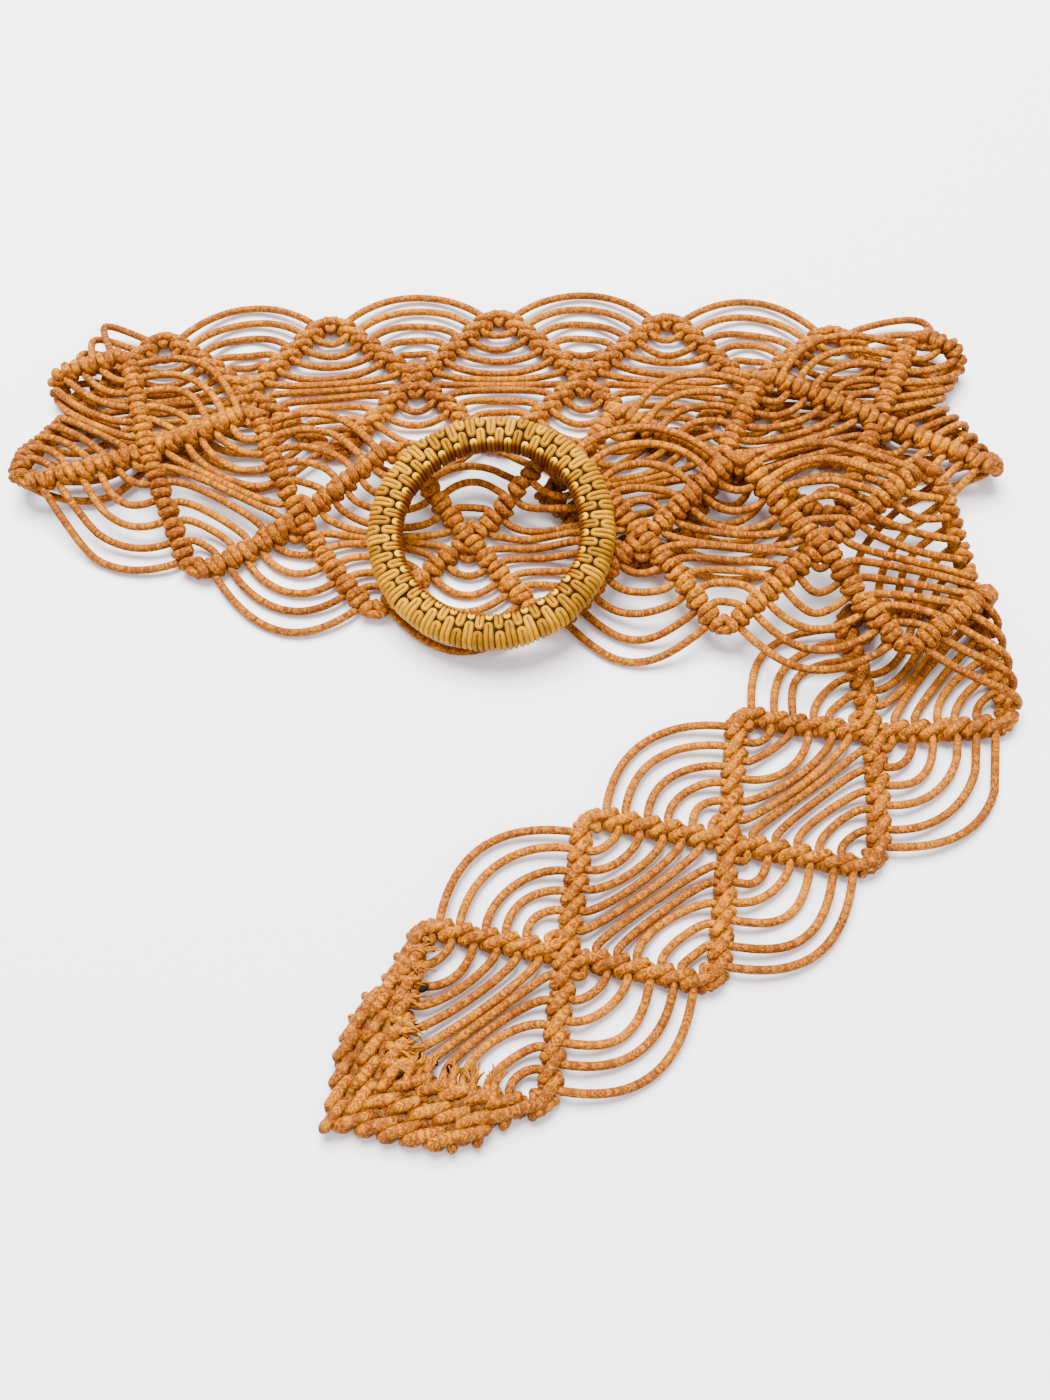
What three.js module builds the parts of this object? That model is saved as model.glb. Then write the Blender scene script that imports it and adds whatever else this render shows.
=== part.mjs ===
import * as THREE from "three";

// A wide belt of knotted cord with a woven ring buckle, folded into a loose
// zigzag on the table. All lengths in mm, +Z up.

// Cord and lattice
const CORD = 2.6;              // one waxed working cord
const PITCH = 57;              // one diamond of the lattice, crossing to crossing
const HALF_WIDTH = 30;         // centre line to an edge knot
const BAR_WIDTH = 3 * CORD;    // a core cord with its wraps on both sides
const BAR_THICK = 6.6;         // the same, pressed a little flat
const SCALLOP = 1.29;          // outermost loop of an edge, in half widths
const TIP_ROW = 6.2;           // spacing of the knotted rows that close the free end

// Buckle
const RING_OUTER = 76;
const RING_BAND = 11;
const RING_THICK = 9.4;
const RING_UNITS = 34;         // woven units round the ring
const RING_GROOVE = 0.6;
const RING_CENTRE = [-5.05, 35.16];
const RING_TILT = [11.2, -3.8];  // degrees about X and Y: it lies on the layers beneath
const RING_HEIGHT = 17.0;      // its middle over the table

// Layers
const GAP = 0.3;
const LIFT = BAR_THICK + 2 * GAP;  // one layer of strap over another
const COVER_FULL = 37;             // a leg lifts what lies over it this far from its centre line
const COVER_END = 66;              // and no longer from here on
const START_FADE = [22, 20];       // reach and length of the fade at the pointed start

const STATION = PITCH / 2;
const ANGLE = Math.atan2(HALF_WIDTH, STATION);
const BAR_LENGTH = Math.hypot(HALF_WIDTH, STATION);
const HALF_BAR = BAR_WIDTH / 2;
const TOP = BAR_THICK / 2;
const THIN = CORD / 2;
const RAD = Math.PI / 180;
const SNUG = 0.985;            // stretch of the strap beside a fold

// Course of the strap over the table. Stations count half pitches along it.
// Each leg has rows of [stations, turn in degrees, stretch] and ends in a fold.
const FIRST_STATION = -18;
const LAST_STATION = 18;
const START = { x: 13.19, y: 55.36, heading: 3.03 };
const LEGS = [
  {
    name: "from the ring",
    rows: [[2, 15, 0.973], [2, 0.54, 0.973], [1.103, 0, SNUG]],
    fold: { heading: 173.85, radius: 4 },
  },
  {
    name: "back to the left",
    rows: [[2.44, 0, SNUG], [6, 13.8, 0.991], [2.186, 0, SNUG]],
    fold: { heading: -27.51, radius: 4 },
  },
  {
    name: "front, under the ring",
    rows: [[2.34, 0, SNUG], [2, 22.9, 0.952], [2.5, 0.82, 0.952], [2.5, -6.58, 0.952], [1.55, 0, SNUG]],
    fold: { heading: 230.81, radius: 4.4 },
  },
  {
    name: "free end",
    rows: [[1.07, 0, SNUG], [2, -15.6, 0.988], [6.6, 0, 0.988]],
    fold: null,
  },
];

// The net leans over where the front leg leaves the left fold.
const LEAN = { share: -0.22, station: 1, reach: 2.5 };

// The last fold stands a little open.
const OPEN_FOLD = { rise: 3.5, reach: 38, skew: 0.3 };

// Walks along a leg: point and heading after a length with an even turn.
function walk(at, length, turn) {
  if (Math.abs(turn) < 1e-9)
    return {
      x: at.x + Math.cos(at.heading) * length,
      y: at.y + Math.sin(at.heading) * length,
      heading: at.heading,
    };
  const rho = length / turn;
  return {
    x: at.x + rho * (Math.sin(at.heading + turn) - Math.sin(at.heading)),
    y: at.y - rho * (Math.cos(at.heading + turn) - Math.cos(at.heading)),
    heading: at.heading + turn,
  };
}

function layCourse() {
  let k = FIRST_STATION;
  let at = { x: START.x, y: START.y, heading: START.heading * RAD };
  let side = 1;
  const legs = [];
  for (const leg of LEGS) {
    const rows = [];
    for (const [stations, turn, stretch] of leg.rows) {
      rows.push({ k, stations, turn: turn * RAD, stretch, at });
      at = walk(at, stations * STATION * stretch, turn * RAD);
      k += stations;
    }
    const laid = { rows, side, fold: null };
    if (leg.fold) {
      const out = leg.fold.heading * RAD;
      const crease = (at.heading + out) / 2;
      let normal = [Math.sin(crease), -Math.cos(crease)];
      const along = [Math.cos(at.heading), Math.sin(at.heading)];
      if (normal[0] * along[0] + normal[1] * along[1] < 0) normal = normal.map((v) => -v);
      const run = (Math.PI * leg.fold.radius) / (normal[0] * along[0] + normal[1] * along[1]);
      const slip = run * (along[0] * Math.cos(crease) + along[1] * Math.sin(crease));
      laid.fold = { at, k, along, normal, radius: leg.fold.radius, end: k + run / (STATION * SNUG) };
      at = {
        x: at.x + Math.cos(crease) * slip,
        y: at.y + Math.sin(crease) * slip,
        heading: out,
      };
      k = laid.fold.end;
      side = -side;
    }
    legs.push(laid);
  }
  return legs;
}

const COURSE = layCourse();

// Flat place of station k and distance t from the centre line on one leg.
function onLeg(leg, k, t) {
  let row = leg.rows[0];
  for (const next of leg.rows) if (k >= next.k) row = next;
  const part = k - row.k;
  const at = walk(row.at, part * STATION * row.stretch, (row.turn * part) / row.stations);
  return {
    x: at.x - Math.sin(at.heading) * leg.side * t,
    y: at.y + Math.cos(at.heading) * leg.side * t,
  };
}

// Centre lines of the legs, drawn out a little past their folds.
const CENTRES = COURSE.map((leg, i) => {
  const from = i === 0 ? FIRST_STATION : COURSE[i - 1].fold.end - 2;
  const to = leg.fold ? leg.fold.k + 2 : LAST_STATION + 1;
  const points = [];
  for (let n = 0; n <= 60; n++) points.push(onLeg(leg, from + ((to - from) * n) / 60, 0));
  return points;
});

const ease = (v) => {
  const c = Math.min(1, Math.max(0, v));
  return c * c * (3 - 2 * c);
};

// 1 where a leg lies under the point, fading to 0 beyond its edges.
function cover(leg, x, y) {
  const line = CENTRES[leg];
  let near = Infinity;
  for (let i = 0; i + 1 < line.length; i++) {
    const a = line[i];
    const b = line[i + 1];
    const dx = b.x - a.x;
    const dy = b.y - a.y;
    const f = Math.min(1, Math.max(0, ((x - a.x) * dx + (y - a.y) * dy) / (dx * dx + dy * dy)));
    near = Math.min(near, Math.hypot(x - a.x - f * dx, y - a.y - f * dy));
  }
  return ease((COVER_END - near) / (COVER_END - COVER_FULL));
}

// Height of the middle of each leg over the table.
function height(leg, x, y) {
  if (leg === 1) return TOP;
  if (leg === 0) return TOP + LIFT * cover(1, x, y);
  const under = cover(1, x, y) + coverOfStart(x, y);
  if (leg === 3) return TOP + LIFT * under;
  const fold = COURSE[2].fold;
  const past = (x - fold.at.x) * fold.normal[0] + (y - fold.at.y) * fold.normal[1];
  const aside = ((x - fold.at.x) * fold.normal[1] - (y - fold.at.y) * fold.normal[0]) / HALF_WIDTH;
  const open = OPEN_FOLD.rise * Math.exp(-((past / OPEN_FOLD.reach) ** 2));
  return TOP + LIFT * (under + cover(3, x, y)) + open * (1 + OPEN_FOLD.skew * aside);
}

// The first leg starts in a point, so its cover fades in along a wedge there.
function coverOfStart(x, y) {
  const first = COURSE[0].rows[0].at;
  const along = [Math.cos(first.heading), Math.sin(first.heading)];
  const ahead = (x - first.x) * along[0] + (y - first.y) * along[1];
  const aside = Math.abs((y - first.y) * along[0] - (x - first.x) * along[1]);
  return cover(0, x, y) * ease((ahead - 0.8 * aside + START_FADE[0]) / START_FADE[1]);
}

// Place of station k, distance t and offset h along the strap's front face.
function place(station, t, h) {
  const bump = Math.min(1, Math.abs((station - LEAN.station) / LEAN.reach));
  const k = station + (LEAN.share * Math.cos((bump * Math.PI) / 2) ** 2 * t) / STATION;
  let index = 0;
  for (let i = 0; i + 1 < COURSE.length; i++) {
    const fold = COURSE[i].fold;
    if (k < fold.k - 1.5) break;
    const run = (k - fold.k) * STATION * SNUG;
    const side = COURSE[i].side;
    const x = fold.at.x + fold.along[0] * run - fold.along[1] * side * t;
    const y = fold.at.y + fold.along[1] * run + fold.along[0] * side * t;
    const q = (x - fold.at.x) * fold.normal[0] + (y - fold.at.y) * fold.normal[1];
    if (q <= 0 && k < fold.end + 1.5) break;
    if (q < Math.PI * fold.radius && k < fold.end + 1.5) {
      const cx = x - q * fold.normal[0];
      const cy = y - q * fold.normal[1];
      const from = height(i, cx, cy);
      const to = height(i + 1, cx, cy);
      const turn = q / fold.radius;
      const out = fold.radius * Math.sin(turn) + side * Math.sign(from - to) * Math.sin(turn) * h;
      return new THREE.Vector3(
        cx + out * fold.normal[0],
        cy + out * fold.normal[1],
        (from + to) / 2 + ((from - to) / 2) * Math.cos(turn) + side * Math.cos(turn) * h,
      );
    }
    index = i + 1;
  }
  const leg = COURSE[index];
  const flat = onLeg(leg, k, t);
  return new THREE.Vector3(flat.x, flat.y, height(index, flat.x, flat.y) + leg.side * h);
}

// The net: flat faces in belt coordinates (s, t), each corner with its half thickness.
const corners = [];
const cornerAt = new Map();
const faces = [];

function corner(s, t, thick) {
  const key = `${Math.round(s * 50)},${Math.round(t * 50)}`;
  if (!cornerAt.has(key)) {
    cornerAt.set(key, corners.length);
    corners.push({ s, t, thick, middle: place(s / STATION, t, 0) });
  }
  return cornerAt.get(key);
}

// Corners along a straight edge, closer together where the strap bends.
function edge(a, b, depth = 0) {
  const p = corners[a];
  const q = corners[b];
  const s = (p.s + q.s) / 2;
  const t = (p.t + q.t) / 2;
  const middle = place(s / STATION, t, 0);
  const sag = middle.distanceTo(p.middle.clone().lerp(q.middle, 0.5));
  if (depth > 2 || sag < 0.55 || Math.hypot(p.s - q.s, p.t - q.t) < 3.2) return [a];
  const m = corner(s, t, (p.thick + q.thick) / 2);
  return [...edge(a, m, depth + 1), ...edge(m, b, depth + 1)];
}

// The same, split alike from both ends.
function edgeEitherWay(a, b) {
  if (a < b) return edge(a, b);
  const back = [...edge(b, a), a].reverse();
  return back.slice(0, -1);
}

// A face with the given loop of corners.
function patch(loop) {
  const ring = [];
  for (let i = 0; i < loop.length; i++)
    ring.push(...edgeEitherWay(loop[i], loop[(i + 1) % loop.length]));
  const outline = ring.map((i) => new THREE.Vector2(corners[i].s, corners[i].t));
  const turned = THREE.ShapeUtils.area(outline) < 0;
  if (turned) {
    ring.reverse();
    outline.reverse();
  }
  for (const [a, b, c] of THREE.ShapeUtils.triangulateShape(outline, []))
    faces.push([ring[a], ring[b], ring[c]]);
}

// Stops of the loops of cord along a half bar, from the edge knot and from the crossing.
const INNER_STOPS = [12, 18, 30];
const OUTER_STOPS = [12, 18, 24, 30, 36];
const INNER_SAG = { 12: 0.96, 18: 0.9, 30: 0.84 };
const loopBulge = (r) => 1 + ((SCALLOP * HALF_WIDTH) / Math.hypot(36, HALF_BAR) - 1) * (r / 36) ** 1.5;

const nodeT = (dy) => dy * HALF_WIDTH;
const crossing = (k) => corner(k * STATION, 0, TOP);
const edgeKnot = (k, dy) => corner(k * STATION, nodeT(dy), TOP);
const besideCrossing = (k, dx) => corner(k * STATION + (dx * HALF_BAR) / Math.sin(ANGLE), 0, TOP);
const overCrossing = (k, dy) => corner(k * STATION, (dy * HALF_BAR) / Math.cos(ANGLE), TOP);
const underKnot = (k, dy) => corner(k * STATION, nodeT(dy) - (dy * HALF_BAR) / Math.cos(ANGLE), THIN * 1.6);

// A point beside the half bar from crossing k towards the knot at (k + dx, dy):
// r from the crossing, on the edge side (side 1) or the diamond side (side -1).
function besideBar(k, dx, dy, r, side, thick = THIN) {
  const a = [dx * Math.cos(ANGLE), dy * Math.sin(ANGLE)];
  const n = [-dx * Math.sin(ANGLE) * side, dy * Math.cos(ANGLE) * side];
  return corner(k * STATION + a[0] * r + n[0] * HALF_BAR, a[1] * r + n[1] * HALF_BAR, thick);
}

const innerStop = (k, dx, dy, r) => besideBar(k, dx, dy, BAR_LENGTH - r, -1);
const outerStop = (k, dx, dy, r) => besideBar(k, dx, dy, r, 1);

// Corners of a loop of cord swung round an apex from corner a to corner b.
function swing(apex, a, b, bulge, parts) {
  const o = corners[apex];
  const p = corners[a];
  const q = corners[b];
  const from = Math.atan2(p.t - o.t, p.s - o.s);
  let by = Math.atan2(q.t - o.t, q.s - o.s) - from;
  if (by > Math.PI) by -= 2 * Math.PI;
  if (by < -Math.PI) by += 2 * Math.PI;
  const r0 = Math.hypot(p.t - o.t, p.s - o.s);
  const out = [a];
  for (let i = 1; i < parts; i++) {
    const f = i / parts;
    const r = r0 * (1 + (bulge - 1) * Math.sin(Math.PI * f));
    out.push(corner(o.s + Math.cos(from + by * f) * r, o.t + Math.sin(from + by * f) * r, THIN));
  }
  out.push(b);
  return out;
}

function band(inner, outer) {
  patch([...inner, ...outer.slice().reverse()]);
}

// The half bar from crossing k towards (k + dx, dy).
function halfBar(k, dx, dy) {
  const knot = k + dx;
  const ends = k === FIRST_STATION || k === LAST_STATION;
  const ridge = [0.25, 0.5, 0.75].map((f) =>
    corner((k + dx * f) * STATION, nodeT(dy) * f, TOP));
  const back = [edgeKnot(knot, dy), ...ridge.slice().reverse()];
  const inner = INNER_STOPS.slice().reverse().map((r) => innerStop(k, dx, dy, r));
  patch([crossing(k), besideCrossing(k, dx), ...inner, underKnot(knot, dy), ...back]);
  const outer = OUTER_STOPS.map((r) => outerStop(k, dx, dy, r));
  const start = ends ? besideCrossing(k, -dx) : overCrossing(k, dy);
  patch([crossing(k), start, ...outer, outerStop(k, dx, dy, BAR_LENGTH), ...back]);
}

// The edge knot with the loops that swing round it inside a diamond.
function edgeSector(k, dy) {
  const apex = edgeKnot(k, dy);
  const outLeft = outerStop(k - 1, 1, dy, BAR_LENGTH);
  const outRight = outerStop(k + 1, -1, dy, BAR_LENGTH);
  const cap = corner(k * STATION, nodeT(dy) + dy * HALF_BAR * 1.12, THIN * 1.3);
  patch([apex, outLeft, cap, outRight]);
  const arc = (r, parts) =>
    swing(apex, innerStop(k - 1, 1, dy, r), innerStop(k + 1, -1, dy, r), INNER_SAG[r], parts);
  patch([underKnot(k, dy), ...arc(12, 3)]);
  band(arc(18, 4), arc(30, 5));
}

// The loops of an edge, swung round a crossing.
function scallop(k, dy) {
  const apex = crossing(k);
  const arc = (r, parts) =>
    swing(apex, outerStop(k, -1, dy, r), outerStop(k, 1, dy, r), loopBulge(r), parts);
  patch([overCrossing(k, dy), ...arc(12, 3)]);
  band(arc(18, 4), arc(24, 4));
  band(arc(30, 5), arc(36, 6));
}

// Free end: rows of knots laid outside the last two bars.
// Columns: offset from the bar in rows, where the row starts along the arm, half thickness.
const TIP_ROWS = [
  { offset: 1, start: 0.92, thick: TOP },
  { offset: 1.5, start: 0.8, thick: TOP * 0.72 },
  { offset: 2, start: 0.66, thick: TOP },
  { offset: 2 + HALF_BAR / TIP_ROW, start: 0.5, thick: THIN },
];

function tip() {
  const k = LAST_STATION;
  const alongArm = (dy, r, off, thick) =>
    corner(
      k * STATION - Math.cos(ANGLE) * r + Math.sin(ANGLE) * off,
      dy * (Math.sin(ANGLE) * r + Math.cos(ANGLE) * off),
      thick,
    );
  for (const dy of [1, -1]) {
    let last = [besideCrossing(k, 1), ...OUTER_STOPS.map((r) => outerStop(k, -1, dy, r)),
      outerStop(k, -1, dy, BAR_LENGTH)];
    for (const row of TIP_ROWS) {
      const off = row.offset * TIP_ROW;
      const from = -off / Math.tan(ANGLE);
      const to = BAR_LENGTH * row.start;
      const line = [0, 1, 2, 3].map((i) => alongArm(dy, from + ((to - from) * i) / 3, off, row.thick));
      patch([...last, ...line.slice().reverse()]);
      last = line;
    }
  }
}

function layNet() {
  for (let k = FIRST_STATION; k <= LAST_STATION; k += 2)
    for (const dx of [-1, 1])
      for (const dy of [-1, 1])
        if (k + dx > FIRST_STATION && k + dx < LAST_STATION) halfBar(k, dx, dy);
  for (let k = FIRST_STATION + 1; k < LAST_STATION; k += 2)
    for (const dy of [-1, 1]) edgeSector(k, dy);
  for (let k = FIRST_STATION + 2; k < LAST_STATION; k += 2)
    for (const dy of [-1, 1]) scallop(k, dy);
  tip();
}

// Thickens the flat net to a closed body and lays it along its course.
function thicken() {
  const positions = [];
  for (const face of [1, -1])
    for (const c of corners) positions.push(...place(c.s / STATION, c.t, face * c.thick).toArray());
  const under = corners.length;
  const index = [];
  const open = new Map();
  for (const [a, b, c] of faces) {
    index.push(a, b, c, under + c, under + b, under + a);
    for (const [p, q] of [[a, b], [b, c], [c, a]]) {
      if (open.has(`${q},${p}`)) open.delete(`${q},${p}`);
      else open.set(`${p},${q}`, [p, q]);
    }
  }
  for (const [p, q] of open.values()) index.push(p, under + p, under + q, p, under + q, q);
  const geometry = new THREE.BufferGeometry();
  geometry.setAttribute("position", new THREE.Float32BufferAttribute(positions, 3));
  geometry.setIndex(index);
  return geometry;
}

// The ring: a rounded band with a shallow groove between its woven units.
function ringGeometry() {
  const middle = (RING_OUTER - RING_BAND) / 2;
  const section = [
    [1, 0.5], [0.62, 1], [-0.62, 1], [-1, 0.5],
    [-1, -0.5], [-0.62, -1], [0.62, -1], [1, -0.5],
  ];
  const positions = [];
  const index = [];
  const rounds = RING_UNITS * 3;
  for (let i = 0; i < rounds; i++) {
    const turn = (i / rounds) * 2 * Math.PI;
    const cut = i % 3 ? 0 : RING_GROOVE;
    for (const [across, up] of section) {
      const r = middle + across * (RING_BAND / 2 - cut);
      positions.push(Math.cos(turn) * r, Math.sin(turn) * r, up * (RING_THICK / 2 - cut));
    }
  }
  const n = section.length;
  for (let i = 0; i < rounds; i++)
    for (let j = 0; j < n; j++) {
      const a = i * n + j;
      const b = i * n + ((j + 1) % n);
      const c = ((i + 1) % rounds) * n + ((j + 1) % n);
      const d = ((i + 1) % rounds) * n + j;
      index.push(a, d, c, a, c, b);
    }
  const geometry = new THREE.BufferGeometry();
  geometry.setAttribute("position", new THREE.Float32BufferAttribute(positions, 3));
  geometry.setIndex(index);
  return geometry;
}

const group = new THREE.Group();

layNet();
const strap = new THREE.Mesh(
  thicken(),
  new THREE.MeshStandardMaterial({ color: "#c07a3a", roughness: 0.75, metalness: 0 }),
);
strap.name = "strap";
group.add(strap);

const ring = new THREE.Mesh(
  ringGeometry(),
  new THREE.MeshStandardMaterial({ color: "#c9a227", roughness: 0.5, metalness: 0 }),
);
ring.name = "buckle_ring";
ring.rotation.set(RING_TILT[0] * RAD, RING_TILT[1] * RAD, 0);
ring.position.set(RING_CENTRE[0], RING_CENTRE[1], RING_HEIGHT);
group.add(ring);

export default group;
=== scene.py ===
"""A wide belt of knotted waxed cord with a woven ring, lying folded on a pale table."""

import math

import bpy
import numpy as np
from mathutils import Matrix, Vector


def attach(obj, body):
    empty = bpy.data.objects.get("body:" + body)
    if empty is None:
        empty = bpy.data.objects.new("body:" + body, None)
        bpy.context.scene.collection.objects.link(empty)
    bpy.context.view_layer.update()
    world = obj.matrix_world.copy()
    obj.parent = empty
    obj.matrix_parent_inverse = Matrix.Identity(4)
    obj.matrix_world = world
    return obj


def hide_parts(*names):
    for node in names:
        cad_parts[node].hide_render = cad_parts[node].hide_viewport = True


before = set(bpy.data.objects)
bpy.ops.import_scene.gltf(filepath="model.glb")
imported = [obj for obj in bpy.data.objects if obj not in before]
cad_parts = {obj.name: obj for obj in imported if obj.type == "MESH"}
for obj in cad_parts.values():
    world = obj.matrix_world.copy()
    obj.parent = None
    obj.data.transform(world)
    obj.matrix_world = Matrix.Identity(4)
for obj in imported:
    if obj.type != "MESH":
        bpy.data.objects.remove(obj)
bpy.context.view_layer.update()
SEED = 11
rng = np.random.default_rng(SEED)

# Sizes in mm, as in the part. Meshes are turned to metres as they are made.
CORD = 2.5  # drawn out between its knots, of the part's 2.6
PITCH = 57.0  # of the net along the strap, from crossing to crossing
HALF_WIDTH = 30.0  # from the centre line to the edge knots
BAR_THICK = 6.6  # from the front face of a bar to its back
TIP_ROW = 6.2  # from a bar of the tip to the row of knots outside it
RING_OUTER = 76.0
RING_BAND = 11.0
RING_THICK = 9.4
RING_UNITS = 34  # units of the weave round the ring
RING_CENTRE = (-5.05, 35.16)
RING_TILT = (11.2, -3.8)  # degrees about x and y, as it rests on the bars under it
RING_HEIGHT = 17.0
LIFT = BAR_THICK + 0.6  # from one leg to the leg that lies on it
COVER_FULL = 37.0  # past a leg's centre line, another leg lies on it up to here
COVER_END = 66.0  # and is down on the table here
START_FADE = (22.0, 20.0)  # how far before its start the first leg's cover begins, over how much
STATION = PITCH / 2  # a place along the strap: a crossing at an even one, edge knots at an odd
ANGLE = math.atan2(HALF_WIDTH, STATION)  # between a bar and the centre line
BAR_LENGTH = math.hypot(HALF_WIDTH, STATION)  # from a crossing to an edge knot
TOP = BAR_THICK / 2
RAD = math.pi / 180
SNUG = 0.985  # stretch of the strap in its straight parts and folds
FIRST_STATION = -18
LAST_STATION = 18
START = (13.19, 55.36, 3.03)  # x, y and heading in degrees of the first leg
# Each leg: rows of (stations, turn in degrees, stretch), then the fold's (heading out, radius).
LEGS = (
    (((2, 15, 0.973), (2, 0.54, 0.973), (1.103, 0, SNUG)), (173.85, 4.0)),
    (((2.44, 0, SNUG), (6, 13.8, 0.991), (2.186, 0, SNUG)), (-27.51, 4.0)),
    (
        (
            (2.34, 0, SNUG),
            (2, 22.9, 0.952),
            (2.5, 0.82, 0.952),
            (2.5, -6.58, 0.952),
            (1.55, 0, SNUG),
        ),
        (230.81, 4.4),
    ),
    (((1.07, 0, SNUG), (2, -15.6, 0.988), (6.6, 0, 0.988)), None),
)
LEAN = (-0.22, 1.0, 2.5)  # a skew of the net: slope, station of its middle, stations to its end
OPEN_FOLD = (3.5, 38.0, 0.3)  # the last fold stands open: mm up, mm it reaches, tilt across
FOLD_REACH = 1.5  # stations before and after a fold that may lie in its bend
FAR = 99.0  # mm from any fold, where none is near

# Knots
KNOT_STEP = 6.05  # one knot along a bar
KNOTS = 6  # knots of a half bar, one for each cord of that side
FIRST_KNOT = 4.9  # from the edge knot's middle to the first
COS, SIN = math.cos(ANGLE), math.sin(ANGLE)
SINK = 1.9  # how far below its leg's middle a free cord comes to lie
SINK_RUN = 10.0  # mm past a fold over which it starts to
CORE = 1.3  # radius of a core cord between its knots
CORE_STEP = 0.9  # between the points of a core cord
TIP_CORE = 1.75  # radius of the tip's cores
LIE = np.array([0.0, 0.0, 1.0])  # the reference direction of cord that isn't on a bar
# Free cord near a fold is pulled smooth: fully up to NEAR mm, less and less over FADE mm more
SMOOTH_NEAR, SMOOTH_FADE = 14.0, 14.0
SMOOTH_SHARE, SMOOTH_ROUNDS = 0.8, 40
# The tip's rows of knots close in on the bar by so much, over this last share of its length
CLOSING = 0.66 * TIP_ROW
CLOSING_RUN = 0.34


def walk(x, y, heading, length, turn):
    """Point and heading at a length along an arc: the chord turns by half the turn."""
    half = turn / 2
    chord = length * np.sinc(half / np.pi)
    return x + chord * np.cos(heading + half), y + chord * np.sin(heading + half), heading + turn


def lay_course():
    """The legs and folds of the strap, each leg starting where the last fold sets it down."""
    k = FIRST_STATION
    x, y, heading = START[0], START[1], START[2] * RAD
    side = 1
    legs = []
    for rows, fold in LEGS:
        laid = []
        for stations, turn, stretch in rows:
            laid.append((k, stations, x, y, heading, turn * RAD, stretch))
            x, y, heading = walk(x, y, heading, stations * STATION * stretch, turn * RAD)
            k += stations
        leg = {"rows": laid, "side": side, "fold": None}
        if fold:
            out = fold[0] * RAD
            crease = (heading + out) / 2
            normal = np.array([math.sin(crease), -math.cos(crease)])
            along = np.array([math.cos(heading), math.sin(heading)])
            normal = normal if normal @ along > 0 else -normal
            run = math.pi * fold[1] / (normal @ along)
            slip = run * (along[0] * math.cos(crease) + along[1] * math.sin(crease))
            leg["fold"] = {
                "x": x, "y": y, "k": k, "along": along, "normal": normal,
                "radius": fold[1], "end": k + run / (STATION * SNUG),
            }
            x += math.cos(crease) * slip
            y += math.sin(crease) * slip
            heading = out
            k = leg["fold"]["end"]
            side = -side
        legs.append(leg)
    return legs


COURSE = lay_course()


def on_leg(leg, k, t):
    """Flat place of stations k at distances t from the centre line of a leg."""
    x, y = np.zeros_like(k), np.zeros_like(k)
    rows = leg["rows"]
    for i, (k0, stations, x0, y0, h0, turn, stretch) in enumerate(rows):
        low = -np.inf if i == 0 else k0
        high = rows[i + 1][0] if i + 1 < len(rows) else np.inf
        here = (k >= low) & (k < high)
        part = k[here] - k0
        px, py, h = walk(x0, y0, h0, part * STATION * stretch, turn * part / stations)
        x[here] = px - np.sin(h) * leg["side"] * t[here]
        y[here] = py + np.cos(h) * leg["side"] * t[here]
    return x, y


def centre_line(i):
    """Points along a leg's centre line, drawn out a little past its folds."""
    first = FIRST_STATION if i == 0 else COURSE[i - 1]["fold"]["end"] - 2
    fold = COURSE[i]["fold"]
    last = fold["k"] + 2 if fold else LAST_STATION + 1
    k = np.linspace(first, last, 61)
    return np.stack(on_leg(COURSE[i], k, np.zeros_like(k)), 1)


CENTRES = [centre_line(i) for i in range(len(LEGS))]


def ease(v):
    """The smooth step 3v^2 - 2v^3 between 0 and 1."""
    c = np.clip(v, 0, 1)
    return c * c * (3 - 2 * c)


def cover(i, x, y):
    """1 where leg i lies under a point, fading to 0 with the distance past its edge."""
    a, b = CENTRES[i][:-1], CENTRES[i][1:]
    d = b - a
    near = np.empty_like(x)
    at_once = 20000  # points, so that the arrays stay small
    for part in np.array_split(np.arange(x.size), x.size // at_once + 1):
        px = x[part, None] - a[None, :, 0]
        py = y[part, None] - a[None, :, 1]
        f = np.clip((px * d[:, 0] + py * d[:, 1]) / (d**2).sum(1), 0, 1)
        near[part] = np.hypot(px - f * d[:, 0], py - f * d[:, 1]).min(1)
    return ease((COVER_END - near) / (COVER_END - COVER_FULL))


def cover_of_start(x, y):
    """The first leg's cover, fading in along a wedge at its pointed start."""
    x0, y0, h0 = START[0], START[1], START[2] * RAD
    ahead = (x - x0) * math.cos(h0) + (y - y0) * math.sin(h0)
    aside = np.abs((y - y0) * math.cos(h0) - (x - x0) * math.sin(h0))
    return cover(0, x, y) * ease((ahead - 0.8 * aside + START_FADE[0]) / START_FADE[1])


def height(i, x, y):
    """Height of the middle of leg i: its own half thickness and one lift for each leg beneath."""
    if i == 1:
        return np.full_like(x, TOP)
    if i == 0:
        return TOP + LIFT * cover(1, x, y)
    under = cover(1, x, y) + cover_of_start(x, y)
    if i == 3:
        return TOP + LIFT * under
    fold = COURSE[2]["fold"]
    nx, ny = fold["normal"]
    past = (x - fold["x"]) * nx + (y - fold["y"]) * ny
    aside = ((x - fold["x"]) * ny - (y - fold["y"]) * nx) / HALF_WIDTH
    rise = OPEN_FOLD[0] * np.exp(-((past / OPEN_FOLD[1]) ** 2)) * (1 + OPEN_FOLD[2] * aside)
    return TOP + LIFT * (under + cover(3, x, y)) + rise


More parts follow.
